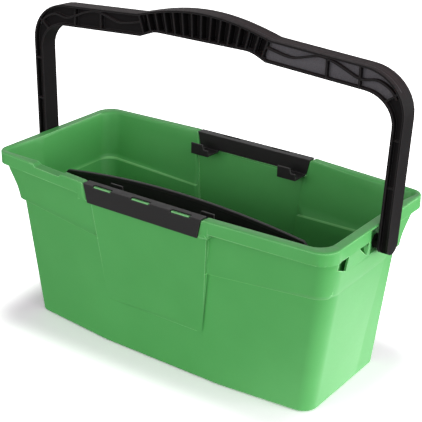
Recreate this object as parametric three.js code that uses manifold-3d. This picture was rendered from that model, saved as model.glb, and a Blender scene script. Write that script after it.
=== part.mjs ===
// Window cleaning bucket: a moulded tub with two pouring corners, a swinging bail handle,
// two snap-on tool clips and a drain screen that lifts out.
// Millimetres. X runs along the tub, Y to the rear and Z up.
// The origin is on the floor, under the middle of the tub.

import * as THREE from 'three'
import { mergeVertices } from 'three/addons/utils/BufferGeometryUtils.js'
import Module from 'manifold-3d'

const wasm = await Module()
wasm.setup()

// Clearances and cutters
const seatGap = 0.3
const runningGap = 0.35
const overrun = 4

// How finely round stretches are drawn
const arcSteps = 10
const drumSides = 32
const edgeSteps = 3
const lipSteps = 4
const spoutArcSteps = 6
const plainArcSteps = 7
const panelArcSteps = 6
const waveSteps = 28
const archSteps = 16
const mergeTolerance = 0.0001

// Tub: driving dimensions
const tubHeight = 247
const wallThickness = 2.8
const rimHalfLength = 267
const rimHalfWidth = 128
const endDraft = 41
const sideDraft = 36
const baseCornerDraw = 12
const rimPlainDraw = 7
const rimSpoutDraw = 17
const baseEdgeRadius = 4.5
const basePlainRadius = 20
const baseSpoutRadius = 7
const rimSkirtHeight = 17
const rimThickness = 2.6
const rimEdgeRadius = 1.6
const rimEdgeShare = 0.3
const rimEndWidth = 14
const rimSideWidth = 12.5
const rimPlainRadius = 24
const rimSpoutRadius = 19
const wallEndInset = 11
const wallSideInset = 10
const lipReach = 62
const lipEndShare = 0.2
const lipFlare = 3.5
const lipTopFlare = 6
const lipCornerRadius = 9
const ledgeDrop = 80
const ledgeRise = 11
const ledgeStep = 4
const ledgeBlend = 3

// Proud panel on each long wall
const panelPlainLength = 99
const panelSpoutLength = 87
const panelPlainDraw = 23
const panelSpoutDraw = 6
const panelBottom = 75
const panelCornerRadius = 9
const panelLowProud = 1.8
const panelSetback = 6
const sideBend = 96

// Low run in the front rim, beside the left pouring corner
const dipStart = 140
const dipEnd = 187
const dipDepth = 4.2
const dipSlope = 5

// Tool clips
const clipHalfLength = 93.3
const clipEndSlant = 5.8
const clipEndGap = 1.5
const clipThickness = 2
const clipHeight = 26
const clipSkirtHeight = 21
const seatCornerRadius = 5
const seatLipGap = 2
const tabHeight = 23.5
const tabEnd = 103
const slotLength = 30
const slotDepth = 5.5
const slotHeight = 2.6
const slotEdgeThickness = 1.2
const frontSlotSpacing = 62
const frontSlotPlaces = [-1, 0, 1]
const rearSlotSpacing = 41
const rearSlotPlaces = [-1, 1]
const lugLength = 26
const lugDepth = 3.5
const lugTopDrop = 1
const hookOffset = 72.5
const hookLength = 29
const hookReach = 25
const hookThickness = 2.4
const hookDrop = 1
const hookLipHeight = 16.5
const hookStepLength = 7
const hookStepDrop = 7
const hookStepSlope = 2.5

// Pivot housing on each short wall
const pivotDrop = 27
const pinRadius = 6
const pinBackWall = 1.7
const bossRadius = 9
const recessFrontReach = 22
const recessRearReach = 15
const recessEdgeRadius = 7
const recessDepth = 9
const recessDrop = 10
const housingEdge = 31
const housingBlend = 8
const pocketInset = 28
const windowInset = 25
const windowLength = 18
const windowDrop = 16
const windowHeight = 20
const windowSlope = 8
const notchLength = 23
const notchHeight = 18

// Bail handle
const handleDepth = 25.4
const handleThickness = 14.4
const handleGap = 0.4
const handleSplayAngle = THREE.MathUtils.degToRad(1.76)
const handleLeanAngle = THREE.MathUtils.degToRad(2.2)
const barRise = 211
const barDepth = 28.5
const shoulderRise = 7.6
const shoulderLowRise = 8
const shoulderOffset = 97
const bumpHalfLength = 104
const bumpShares = { out: 0.79, rise: 0.35, top: 0.44 }
const outerCornerRadius = 55
const innerCornerRadius = 38
const arcShare = 0.5523
const gripRise = 24.3
const gripDepth = 35.7
const gripHalfLength = 66
const gripTurnShares = { out: 0.45, back: 0.29, rise: 0.38 }
const flangeThickness = 2.6
const webThickness = 3
const webSetback = 6.7
const ribThickness = 2.2
const legRibProud = 2.5
const waveShares = [
  [0, 0.73], [0.11, 0.61], [0.21, 0.55], [0.32, 0.68], [0.42, 0.79], [0.52, 0.7], [0.61, 0.53],
  [0.7, 0.35], [0.76, 0.32], [0.84, 0.39], [0.9, 0.31], [0.96, 0.14], [1, -0.1],
]
const gripRibCount = 15
const gripRibSpacing = 13.3
const gripRibThickness = 1.8
const gripFanReach = 255
const barRibShares = [-0.79, -0.618, 0.678, 0.843]
const legRibShares = [0.395, 0.713]
const braceAngle = 37

// Drain screen
const screenOffset = 50
const screenEndGap = 26
const screenDrop = 15
const screenArch = 14
const screenThickness = 3
const screenBeadWidth = 4.5
const screenBeadProud = 1.5
const screenCorner = 10
const screenFoot = 46
const screenSlotWidth = 8
const screenSlotHeight = 52
const screenSlotMargin = 35
const screenSlotCount = 16
const screenSlotStart = 34
const screenSlotRowGap = 12

// Materials
const greenPlastic = { color: '#54b35c', roughness: 0.42, metalness: 0 }
const blackPlastic = { color: '#1d1b1f', roughness: 0.45, metalness: 0 }

// Values worked out from the sizes above
const baseHalfLength = rimHalfLength - endDraft
const baseHalfWidth = rimHalfWidth - sideDraft
const baseEndHalfWidth = baseHalfWidth - baseCornerDraw
const rimPlainHalfWidth = rimHalfWidth - rimPlainDraw
const rimSpoutHalfWidth = rimHalfWidth - rimSpoutDraw
const wallTop = tubHeight - rimSkirtHeight
const ledgeHeight = tubHeight - ledgeDrop
const panelTopFace = rimHalfWidth - panelSetback
const clipLow = tubHeight - clipHeight
const clipInner = rimHalfWidth - rimSideWidth
const skirtLow = tubHeight - clipSkirtHeight
const hookLow = skirtLow - hookDrop - hookThickness
const seatFace = rimHalfWidth - clipThickness - seatGap
const seatTop = tubHeight - clipThickness - seatGap
const seatInner = clipInner + clipThickness + seatGap
const pivotHeight = tubHeight - pivotDrop
const windowTop = tubHeight - windowDrop
const windowFar = rimPlainHalfWidth - windowInset
const windowNear = windowFar - windowLength
const notchFar = housingEdge + notchLength
const barTop = pivotHeight + barRise
const barLow = barTop - barDepth
const barShoulderTop = barTop + shoulderRise
const barShoulderLow = barLow + shoulderLowRise
const gripTop = barTop + gripRise
const gripLow = gripTop - gripDepth
const screenHalfLength = baseHalfLength - screenEndGap
const screenCrown = tubHeight - screenDrop
const screenSlotPitch = (2 * (screenHalfLength - screenSlotMargin)) / (screenSlotCount - 1)
const legFoot = rimHalfLength + handleGap
const splay = Math.tan(handleSplayAngle)
const webFace = webSetback - handleDepth / 2

function solidOf(geometry) {
  const bare = geometry.clone()
  bare.deleteAttribute('normal')
  bare.deleteAttribute('uv')
  const merged = mergeVertices(bare, mergeTolerance)
  const vertProperties = new Float32Array(merged.attributes.position.array)
  const triVerts = new Uint32Array(merged.index.array)
  return new wasm.Manifold(new wasm.Mesh({ numProp: 3, vertProperties, triVerts }))
}

function meshOf(name, solid, finish) {
  const made = solid.getMesh()
  const geometry = new THREE.BufferGeometry()
  geometry.setAttribute('position', new THREE.BufferAttribute(new Float32Array(made.vertProperties), 3))
  geometry.setIndex(new THREE.BufferAttribute(new Uint32Array(made.triVerts), 1))
  geometry.computeVertexNormals()
  const mesh = new THREE.Mesh(geometry, new THREE.MeshStandardMaterial(finish))
  mesh.name = name
  return mesh
}

function block(x0, x1, y0, y1, z0, z1) {
  const geometry = new THREE.BoxGeometry(x1 - x0, y1 - y0, z1 - z0)
  geometry.translate((x0 + x1) / 2, (y0 + y1) / 2, (z0 + z1) / 2)
  return solidOf(geometry)
}

function drumAlongX(radius, x0, x1, z) {
  const geometry = new THREE.CylinderGeometry(radius, radius, x1 - x0, drumSides)
  geometry.rotateZ(Math.PI / 2)
  geometry.translate((x0 + x1) / 2, 0, z)
  return solidOf(geometry)
}

// A prism whose outline is drawn in X and Z and which runs from y0 to y1
function prismAlongY(shape, y0, y1, curveSegments = arcSteps) {
  const geometry = new THREE.ExtrudeGeometry(shape, { depth: y1 - y0, bevelEnabled: false, curveSegments })
  geometry.rotateX(Math.PI / 2)
  geometry.translate(0, y1, 0)
  return solidOf(geometry)
}

// A prism whose outline is drawn in Y and Z and which runs from x0 to x1
function prismAlongX(shape, x0, x1) {
  const depth = x1 - x0
  const geometry = new THREE.ExtrudeGeometry(shape, { depth, bevelEnabled: false, curveSegments: arcSteps })
  const axes = new THREE.Matrix4().makeBasis(
    new THREE.Vector3(0, 1, 0), new THREE.Vector3(0, 0, 1), new THREE.Vector3(1, 0, 0))
  geometry.applyMatrix4(axes)
  geometry.translate(x0, 0, 0)
  return solidOf(geometry)
}

function shapeOf(points) {
  return new THREE.Shape(points.map(([u, v]) => new THREE.Vector2(u, v)))
}

function turned(solid) {
  return solid.rotate([0, 0, 180])
}

function withTwin(solid) {
  return solid.add(turned(solid))
}

// A corner of an outline, rounded to an arc between its two sides
function roundedCorner(before, corner, after, radius, steps) {
  const toBefore = before.clone().sub(corner).normalize()
  const toAfter = after.clone().sub(corner).normalize()
  const halfAngle = Math.acos(toBefore.dot(toAfter)) / 2
  const towardCentre = toBefore.clone().add(toAfter).normalize()
  const centre = corner.clone().addScaledVector(towardCentre, radius / Math.sin(halfAngle))
  const first = corner.clone().addScaledVector(toBefore, radius / Math.tan(halfAngle)).sub(centre)
  const sweep = Math.PI - 2 * halfAngle
  const points = []
  for (let i = 0; i <= steps; i += 1) {
    points.push(first.clone().rotateAround(new THREE.Vector2(), (sweep * i) / steps).add(centre))
  }
  return points
}

// The tub's plan outline at one level: two long sides that bow out at the panel, a pouring
// corner, a rounded corner whose end wall stands further out, and the same turned half a turn
function planOutline(level) {
  const panelRight = new THREE.Vector2(sideBend, level.middle)
  const panelLeft = new THREE.Vector2(-sideBend, level.middle)
  const straightCorner = new THREE.Vector2(level.length, level.spout)
  const lipShare = lipReach / (level.length - sideBend)
  const lipOnSide = straightCorner.clone().lerp(panelRight, lipShare)
  const lipStart = THREE.MathUtils.lerp(housingEdge + housingBlend, level.spout, lipEndShare)
  const lipOnEnd = new THREE.Vector2(level.length, lipStart)
  const lipCorner = straightCorner.clone().addScalar(level.flare)
  const plainCorner = new THREE.Vector2(-level.plainLength, level.plain)
  const flushEnd = new THREE.Vector2(-level.plainLength, -housingEdge)
  const half = [
    new THREE.Vector2(level.length, housingEdge + housingBlend),
    lipOnEnd,
    ...roundedCorner(lipOnEnd, lipCorner, lipOnSide, level.spoutRadius, spoutArcSteps),
    lipOnSide,
    panelRight,
    panelLeft,
    ...roundedCorner(panelLeft, plainCorner, flushEnd, level.plainRadius, plainArcSteps),
    flushEnd,
  ]
  return [...half, ...half.map((point) => point.clone().negate())]
}

function ring(level) {
  return planOutline(level).map((point) => new THREE.Vector3(point.x, point.y, level.height(point.x)))
}

function flat(height) {
  return () => height
}

// A solid skinned over rings that hold the same number of points, lowest ring first
function loft(rings) {
  const count = rings[0].length
  const positions = rings.flat().flatMap((point) => point.toArray())
  const index = []
  for (let layer = 0; layer < rings.length - 1; layer += 1) {
    for (let i = 0; i < count; i += 1) {
      const a = layer * count + i
      const b = layer * count + ((i + 1) % count)
      index.push(a, b, b + count, a, b + count, a + count)
    }
  }
  const capOutline = (points) => points.map((point) => new THREE.Vector2(point.x, point.y))
  const lowest = THREE.ShapeUtils.triangulateShape(capOutline(rings[0]), [])
  const highest = THREE.ShapeUtils.triangulateShape(capOutline(rings[rings.length - 1]), [])
  const lastLayer = (rings.length - 1) * count
  lowest.forEach(([a, b, c]) => index.push(a, c, b))
  highest.forEach(([a, b, c]) => index.push(lastLayer + a, lastLayer + b, lastLayer + c))
  const geometry = new THREE.BufferGeometry()
  geometry.setAttribute('position', new THREE.Float32BufferAttribute(positions, 3))
  geometry.setIndex(index)
  return solidOf(geometry)
}

// Outer sizes of the wall, which tapers from the rim to the base with one step at the ledge
const wallAtTop = {
  length: rimHalfLength - wallEndInset,
  plainLength: rimHalfLength,
  middle: rimHalfWidth - wallSideInset,
  spout: rimSpoutHalfWidth - wallSideInset,
  plain: rimPlainHalfWidth - wallSideInset,
}
const wallAtBase = {
  length: baseHalfLength,
  plainLength: baseHalfLength,
  middle: baseHalfWidth,
  spout: baseEndHalfWidth,
  plain: baseEndHalfWidth,
}

function ledgeAt(x) {
  const share = Math.max(0, Math.abs(x) - sideBend) / (wallAtTop.length - sideBend)
  return ledgeHeight + ledgeRise * Math.min(1, share)
}

function taperedSizes(heightShare, inset) {
  const sizes = {}
  for (const key of Object.keys(wallAtBase)) {
    sizes[key] = THREE.MathUtils.lerp(wallAtBase[key], wallAtTop[key], heightShare) - inset
  }
  return sizes
}

// Sizes of the opening inside the rim
const openingSizes = {
  length: rimHalfLength - rimEndWidth,
  plainLength: rimHalfLength - rimEndWidth,
  middle: rimHalfWidth - rimSideWidth,
  spout: rimSpoutHalfWidth - rimSideWidth,
  plain: rimPlainHalfWidth - rimSideWidth,
  spoutRadius: lipCornerRadius,
  plainRadius: rimPlainRadius - rimEdgeRadius,
  flare: lipTopFlare,
}

// Rings of the wall, moved inward by an inset: 0 gives the outside, the wall thickness the cavity.
// The cavity stays inside the rim's opening, and only the cavity steps at a flush end.
function wallRings(inset) {
  const rings = []
  const radii = (share) => ({
    spoutRadius: THREE.MathUtils.lerp(baseSpoutRadius, rimSpoutRadius, share) - inset / 2,
    plainRadius: THREE.MathUtils.lerp(basePlainRadius, rimPlainRadius, share) - inset / 2,
  })
  const endLimit = inset > 0 ? openingSizes.plainLength : rimHalfLength
  const levelAt = (share, amount, endAmount, lip, height) => {
    const level = { ...taperedSizes(share, amount), ...radii(share), height }
    level.plainLength = Math.min(level.plainLength + amount - endAmount, endLimit)
    level.spoutRadius = THREE.MathUtils.lerp(level.spoutRadius, lipCornerRadius - inset / 2, lip)
    level.flare = lipFlare * lip
    return ring(level)
  }
  for (let i = 0; i <= edgeSteps; i += 1) {
    const turn = (Math.PI / 2) * (i / edgeSteps)
    const height = inset + baseEdgeRadius * (1 - Math.cos(turn))
    const edgeInset = inset + baseEdgeRadius * (1 - Math.sin(turn))
    rings.push(levelAt(0, edgeInset, edgeInset, 0, flat(height)))
  }
  const ledgeShare = (ledgeHeight + ledgeRise / 2) / wallTop
  const endStep = inset > 0 ? inset + ledgeStep : inset
  rings.push(levelAt(ledgeShare, inset + ledgeStep, endStep, 0, ledgeAt))
  rings.push(levelAt(ledgeShare, inset, inset, 0, (x) => ledgeAt(x) + ledgeBlend))
  const lipStart = ledgeHeight + ledgeRise + 2 * ledgeBlend
  for (let i = 0; i <= lipSteps; i += 1) {
    const share = i / lipSteps
    const height = THREE.MathUtils.lerp(lipStart, wallTop, share)
    const lip = THREE.MathUtils.smoothstep(share, 0, 1)
    rings.push(levelAt(height / wallTop, inset, inset, lip, flat(height)))
  }
  return rings
}

function grown(sizes, amount) {
  return {
    ...sizes,
    length: sizes.length + amount,
    plainLength: sizes.plainLength + amount,
    middle: sizes.middle + amount,
    spout: sizes.spout + amount,
    plain: sizes.plain + amount,
  }
}

function outerWall() {
  const rings = wallRings(0)
  rings.push(ring({ ...grown(openingSizes, wallThickness), height: flat(tubHeight - rimThickness) }))
  return loft(rings)
}

function cavity() {
  const rings = wallRings(wallThickness)
  rings.push(ring({ ...openingSizes, height: flat(tubHeight - 2 * rimEdgeRadius) }))
  rings.push(ring({ ...grown(openingSizes, rimEdgeRadius), height: flat(tubHeight) }))
  rings.push(ring({ ...grown(openingSizes, rimEdgeRadius), height: flat(tubHeight + overrun) }))
  return loft(rings)
}

// The rim: a flat top that turns down into a skirt, open underneath
const rimSizes = {
  length: rimHalfLength,
  plainLength: rimHalfLength,
  middle: rimHalfWidth,
  spout: rimSpoutHalfWidth,
  plain: rimPlainHalfWidth,
  spoutRadius: rimSpoutRadius,
  plainRadius: rimPlainRadius,
  flare: 0,
}

function dipCutter(drop) {
  const cutter = prismAlongY(shapeOf([
    [dipStart, tubHeight - dipDepth - drop],
    [dipEnd, tubHeight - dipDepth - drop],
    [dipEnd + dipSlope + overrun, tubHeight + overrun * (dipDepth / dipSlope) - drop],
    [dipStart - dipSlope - overrun, tubHeight + overrun * (dipDepth / dipSlope) - drop],
  ]), baseHalfWidth, rimHalfWidth + overrun)
  return turned(cutter)
}

function rimLip() {
  const chamfer = rimEdgeRadius * rimEdgeShare
  const lip = loft([
    ring({ ...rimSizes, height: flat(wallTop) }),
    ring({ ...rimSizes, height: flat(tubHeight - rimEdgeRadius) }),
    ring({ ...grown(rimSizes, -chamfer), height: flat(tubHeight - chamfer) }),
    ring({ ...grown(rimSizes, -rimEdgeRadius), height: flat(tubHeight) }),
  ])
  const hollowSizes = grown(rimSizes, -rimThickness)
  const hollow = loft([
    ring({ ...hollowSizes, height: flat(wallTop - overrun) }),
    ring({ ...hollowSizes, height: flat(tubHeight - rimThickness) }),
  ])
  return lip.subtract(hollow.subtract(dipCutter(rimThickness)))
}

// Front view of the panel, with its outline moved inward: steep toward the pouring corner and
// slanting toward the rounded one
function panelShape(inset) {
  const bottom = panelBottom + inset
  const radius = panelCornerRadius
  const spoutHigh = panelSpoutLength - inset
  const spoutLow = spoutHigh - panelSpoutDraw
  const plainHigh = panelPlainLength - inset
  const plainLow = plainHigh - panelPlainDraw
  const radiusShare = radius / (wallTop - bottom)
  const shape = new THREE.Shape()
  shape.moveTo(-plainLow + radius, bottom)
  shape.lineTo(spoutLow - radius, bottom)
  shape.quadraticCurveTo(spoutLow, bottom, spoutLow + panelSpoutDraw * radiusShare, bottom + radius)
  shape.lineTo(spoutHigh, wallTop)
  shape.lineTo(spoutHigh, tubHeight)
  shape.lineTo(-plainHigh, tubHeight)
  shape.lineTo(-plainHigh, wallTop)
  shape.lineTo(-plainLow - panelPlainDraw * radiusShare, bottom + radius)
  shape.quadraticCurveTo(-plainLow, bottom, -plainLow + radius, bottom)
  return shape
}

// The panel between its front view and its section, which is drawn in Y and Z
function panelBetween(inset, section) {
  const along = prismAlongX(shapeOf(section), -panelPlainLength, panelSpoutLength)
  const front = prismAlongY(panelShape(inset), baseHalfWidth / 2, rimHalfWidth + overrun, panelArcSteps)
  return front.intersect(along)
}

function panelLowFace() {
  const step = ledgeStep * (panelBottom / ledgeHeight)
  return taperedSizes(panelBottom / wallTop, step).middle + panelLowProud
}

function panelOutside() {
  return panelBetween(0, [
    [0, panelBottom],
    [panelLowFace(), panelBottom],
    [panelTopFace, clipLow],
    [seatFace, clipLow],
    [seatFace, tubHeight],
    [0, tubHeight],
  ])
}

// The hollow behind the panel and under the clip's seat. A lip hangs down from the seat's inner edge.
function panelInside() {
  const shelf = clipLow + wallThickness
  const backing = seatFace - wallThickness
  const plate = seatTop - wallThickness
  const lipFace = seatInner + wallThickness
  const lipLow = skirtLow + seatLipGap
  return panelBetween(wallThickness, [
    [0, panelBottom],
    [panelLowFace() - wallThickness, panelBottom],
    [panelTopFace - wallThickness, clipLow],
    [panelTopFace - wallThickness, shelf],
    [backing, shelf],
    [backing, plate],
    [lipFace, plate],
    [lipFace, lipLow],
    [0, lipLow],
  ])
}

// Tabs that turn down from the rim at both ends of each clip
function clipTabs() {
  const face = shapeOf([
    [rimHalfWidth, tubHeight - tabHeight],
    [rimHalfWidth, tubHeight - rimEdgeRadius],
    [rimHalfWidth - rimEdgeRadius, tubHeight],
    [openingSizes.middle + rimEdgeRadius, tubHeight],
    [openingSizes.middle + rimEdgeRadius, tubHeight - tabHeight],
  ])
  const tab = prismAlongX(face, panelSpoutLength - wallThickness, tabEnd)
  const pair = tab.add(tab.mirror([1, 0, 0]))
  return withTwin(pair)
}

// Half the clip's length at a height: its ends slant inward going down
function clipReachAt(height) {
  return clipHalfLength - clipEndSlant * ((tubHeight - height) / clipHeight)
}

// The seat under each clip, cut out of rim and panel. The rim's corners beside it are rounded.
function clipSeat() {
  const low = clipLow - seatGap
  const high = tubHeight + overrun
  const outside = shapeOf([
    [seatFace, low],
    [rimHalfWidth + overrun, low],
    [rimHalfWidth + overrun, high],
    [0, high],
    [0, seatTop],
    [seatFace, seatTop],
  ])
  const widest = clipHalfLength + clipEndGap + seatCornerRadius
  const outer = prismAlongX(outside, -widest, widest)
  const inner = block(-widest, widest, 0, seatInner, hookLow - seatGap, high)

  const bend = tubHeight - seatCornerRadius
  const side = clipReachAt(bend) + clipEndGap
  const corner = side + seatCornerRadius
  const front = new THREE.Shape()
  front.moveTo(clipReachAt(low) + clipEndGap, low)
  front.lineTo(side, bend)
  front.absarc(corner, bend, seatCornerRadius, Math.PI, Math.PI / 2, true)
  front.lineTo(corner, high)
  front.lineTo(-corner, high)
  front.absarc(-corner, bend, seatCornerRadius, Math.PI / 2, 0, true)
  front.lineTo(-clipReachAt(low) - clipEndGap, low)
  return outer.add(inner).intersect(prismAlongY(front, 0, rimHalfWidth + overrun))
}

// Lugs on the front seat that show in the clip's open slots
function clipLugs() {
  const root = seatTop - wallThickness / 2
  const low = tubHeight - slotHeight + seatGap
  const high = tubHeight - lugTopDrop
  const section = shapeOf([
    [rimHalfWidth - lugDepth, root],
    [seatFace, root],
    [seatFace, low],
    [rimHalfWidth - seatGap, low],
    [rimHalfWidth - seatGap, high],
    [rimHalfWidth - lugDepth, high],
  ])
  const lugs = frontSlotPlaces.map((place) => {
    const start = place * frontSlotSpacing - lugLength / 2
    return prismAlongX(section, start, start + lugLength)
  })
  return turned(wasm.Manifold.union(lugs))
}

// The hollow between the inner wall and the flush end, which narrows to nothing lower down
function endPocket() {
  const inner = openingSizes.length + wallThickness
  const outer = rimHalfLength - wallThickness
  const widthShare = (inner + wallThickness - baseHalfLength) / (rimHalfLength - baseHalfLength)
  const outline = shapeOf([
    [inner, wallTop * widthShare],
    [outer, wallTop],
    [outer, tubHeight - rimThickness],
    [inner, tubHeight - rimThickness],
  ])
  return prismAlongY(outline, pocketInset - rimPlainHalfWidth, -housingEdge)
}

// Openings in the flush end: a window with a sloping sill and a three-sided notch
function endOpenings() {
  const inside = openingSizes.length + wallThickness
  const outside = rimHalfLength + overrun
  const window = prismAlongX(shapeOf([
    [-windowFar, windowTop - windowHeight + windowSlope],
    [-windowNear, windowTop - windowHeight],
    [-windowNear, windowTop],
    [-windowFar, windowTop],
  ]), inside, outside)
  const notch = prismAlongX(shapeOf([
    [-housingEdge, windowTop - notchHeight],
    [-housingEdge, windowTop],
    [-notchFar, windowTop],
  ]), inside, outside)
  return window.add(notch)
}

// Solid core of the rim around the handle's recess
function pivotCore() {
  return block(
    openingSizes.length, rimHalfLength, -housingEdge, housingEdge, wallTop, tubHeight - rimThickness / 2)
}

// The recess under the rim's top that the handle's pin stands in, seen from above, with rounded
// upright edges. It opens further to the front, at both ends of the tub.
function pivotRecess() {
  const floor = pivotHeight - recessDrop
  const back = rimHalfLength - recessDepth
  const centre = rimHalfLength - recessEdgeRadius
  const front = recessFrontReach + recessEdgeRadius
  const rear = recessRearReach + recessEdgeRadius
  const shape = new THREE.Shape()
  shape.moveTo(rimHalfLength + overrun, -front)
  shape.lineTo(rimHalfLength, -front)
  shape.absarc(centre, -front, recessEdgeRadius, 0, Math.PI / 2, false)
  shape.lineTo(back, -recessFrontReach)
  shape.lineTo(back, recessRearReach)
  shape.absarc(centre, rear, recessEdgeRadius, -Math.PI / 2, 0, false)
  shape.lineTo(rimHalfLength + overrun, rear)
  const depth = tubHeight - rimThickness - floor
  const geometry = new THREE.ExtrudeGeometry(shape, { depth, bevelEnabled: false, curveSegments: arcSteps })
  geometry.translate(0, 0, floor)
  const recess = solidOf(geometry)
  return recess.add(recess.mirror([1, 0, 0]))
}

function pinBore() {
  const inside = openingSizes.length + pinBackWall
  return drumAlongX(pinRadius + runningGap, inside, rimHalfLength + overrun, pivotHeight)
}

function tub() {
  const ends = endPocket().add(endOpenings()).add(pinBore())
  return outerWall()
    .add(rimLip())
    .add(withTwin(panelOutside()))
    .add(clipTabs())
    .add(withTwin(pivotCore()))
    .subtract(cavity())
    .subtract(withTwin(panelInside()))
    .subtract(withTwin(clipSeat()))
    .add(clipLugs())
    .subtract(dipCutter(0))
    .subtract(withTwin(ends))
    .subtract(pivotRecess())
}

// A clip that folds over the rim, with slots that run out to a reach and a hook near each end
function toolClip(slotPlaces, slotSpacing, slotReach) {
  const top = tubHeight - clipThickness
  const section = shapeOf([
    [rimHalfWidth, clipLow],
    [rimHalfWidth, tubHeight],
    [clipInner, tubHeight],
    [clipInner, skirtLow],
    [clipInner + clipThickness, skirtLow],
    [clipInner + clipThickness, top],
    [rimHalfWidth - clipThickness, top],
    [rimHalfWidth - clipThickness, clipLow],
  ])
  const front = shapeOf([
    [-clipReachAt(clipLow), clipLow],
    [clipReachAt(clipLow), clipLow],
    [clipHalfLength, tubHeight],
    [-clipHalfLength, tubHeight],
  ])
  const folded = prismAlongX(section, -clipHalfLength, clipHalfLength)
  let clip = folded.intersect(prismAlongY(front, 0, rimHalfWidth + overrun))
  for (const place of slotPlaces) {
    const start = place * slotSpacing - slotLength / 2
    clip = clip.subtract(block(
      start, start + slotLength, rimHalfWidth - slotDepth, slotReach,
      tubHeight - slotHeight, tubHeight + overrun))
  }
  return clip.add(toolHook(-hookOffset)).add(toolHook(hookOffset))
}

// A hook below the clip's inner skirt: a floor with an upright lip, lower at one end
function toolHook(middle) {
  const low = hookLow
  const left = middle - hookLength / 2
  const right = middle + hookLength / 2
  const lipFace = clipInner - hookReach
  const back = block(left, right, clipInner, clipInner + clipThickness, low, skirtLow + clipThickness)
  const floor = block(left, right, lipFace, clipInner + clipThickness, low, low + hookThickness)
  const lip = prismAlongY(shapeOf([
    [left, low],
    [right, low],
    [right, low + hookLipHeight - hookStepDrop],
    [right - hookStepLength, low + hookLipHeight - hookStepDrop],
    [right - hookStepLength - hookStepSlope, low + hookLipHeight],
    [left, low + hookLipHeight],
  ]), lipFace, lipFace + hookThickness)
  return back.add(floor).add(lip)
}

// Front view of the bail, as a closed outline whose edges are moved inward
function bailShape(inset, footLow) {
  const { lerp } = THREE.MathUtils
  const outerLeg = (height) => legFoot + handleThickness + (height - pivotHeight) * splay - inset
  const innerLeg = (height) => legFoot + (height - pivotHeight) * splay + inset
  const outerBend = outerCornerRadius - inset
  const innerBend = innerCornerRadius + inset
  const outerStart = barTop - outerCornerRadius
  const innerStart = barLow - innerCornerRadius
  const outerSide = outerLeg(outerStart) - outerBend
  const innerSide = innerLeg(innerStart) - innerBend
  const topSlope = (barShoulderTop - barTop) / (outerSide - bumpHalfLength)
  const lowSlope = (barShoulderLow - barLow) / (innerSide - shoulderOffset)

  const upper = new THREE.Path()
  upper.moveTo(outerLeg(footLow), footLow)
  upper.lineTo(outerLeg(outerStart), outerStart)
  upper.bezierCurveTo(
    outerLeg(outerStart + outerBend * arcShare), outerStart + outerBend * arcShare,
    outerSide + outerBend * arcShare, barTop - inset - outerBend * arcShare * topSlope,
    outerSide, barTop - inset)
  upper.lineTo(bumpHalfLength, barShoulderTop - inset)
  upper.bezierCurveTo(
    bumpHalfLength * bumpShares.out, lerp(barShoulderTop, gripTop, bumpShares.rise) - inset,
    bumpHalfLength * bumpShares.top, gripTop - inset,
    0, gripTop - inset)

  const lower = new THREE.Path()
  lower.moveTo(0, gripLow + inset)
  lower.lineTo(gripHalfLength, gripLow + inset)
  lower.bezierCurveTo(
    lerp(gripHalfLength, shoulderOffset, gripTurnShares.out), gripLow + inset,
    lerp(shoulderOffset, gripHalfLength, gripTurnShares.back),
    lerp(barShoulderLow, gripLow, gripTurnShares.rise) + inset,
    shoulderOffset, barShoulderLow + inset)
  lower.lineTo(innerSide, barLow + inset)
  lower.bezierCurveTo(
    innerSide + innerBend * arcShare, barLow + inset - innerBend * arcShare * lowSlope,
    innerLeg(innerStart + innerBend * arcShare), innerStart + innerBend * arcShare,
    innerLeg(innerStart), innerStart)
  lower.lineTo(innerLeg(footLow), footLow)

  const above = upper.getPoints(arcSteps)
  const below = lower.getPoints(arcSteps)
  const mirrored = (points) => points.map((point) => new THREE.Vector2(-point.x, point.y)).reverse()
  return new THREE.Shape([...above, ...mirrored(above).slice(1), ...mirrored(below), ...below.slice(1)])
}

// The rib that waves along the open bar from the grip into the bend
function waveRib() {
  const { lerp } = THREE.MathUtils
  const end = legFoot + handleThickness / 2
  const path = new THREE.SplineCurve(waveShares.map(([along, up]) => (
    new THREE.Vector2(lerp(shoulderOffset, end, along), lerp(barLow, barShoulderTop, up)))))
  const offsetPoints = (side) => path.getPoints(waveSteps).map((point, i) => {
    const tangent = path.getTangent(i / waveSteps)
    const normal = new THREE.Vector2(-tangent.y, tangent.x)
    return point.addScaledVector(normal, side * (ribThickness / 2))
  })
  return new THREE.Shape([...offsetPoints(-1), ...offsetPoints(1).reverse()])
}

function handleRibs() {
  const reach = handleDepth / 2 - ribThickness / 4
  const half = ribThickness / 2
  const wave = prismAlongY(waveRib(), -reach, reach)
  const ribs = [wave, wave.mirror([1, 0, 0])]
  for (const share of barRibShares) {
    const x = legFoot * share
    ribs.push(block(x - half, x + half, -reach, reach, barLow, barShoulderTop))
  }
  for (const side of [-1, 1]) {
    const corner = side * (legFoot + handleThickness / 4)
    const brace = block(-outerCornerRadius, outerCornerRadius, -reach, reach, -half, half)
    ribs.push(brace.rotate([0, side * -braceAngle, 0]).translate([corner, 0, barLow]))
    for (const share of legRibShares) {
      const height = THREE.MathUtils.lerp(pivotHeight, barLow, share)
      const inner = legFoot + (height - pivotHeight) * splay
      const rib = block(
        inner, inner + handleThickness, webFace - legRibProud, reach, height - half, height + half)
      ribs.push(side > 0 ? rib : turned(rib))
    }
  }
  return wasm.Manifold.union(ribs)
}

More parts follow.
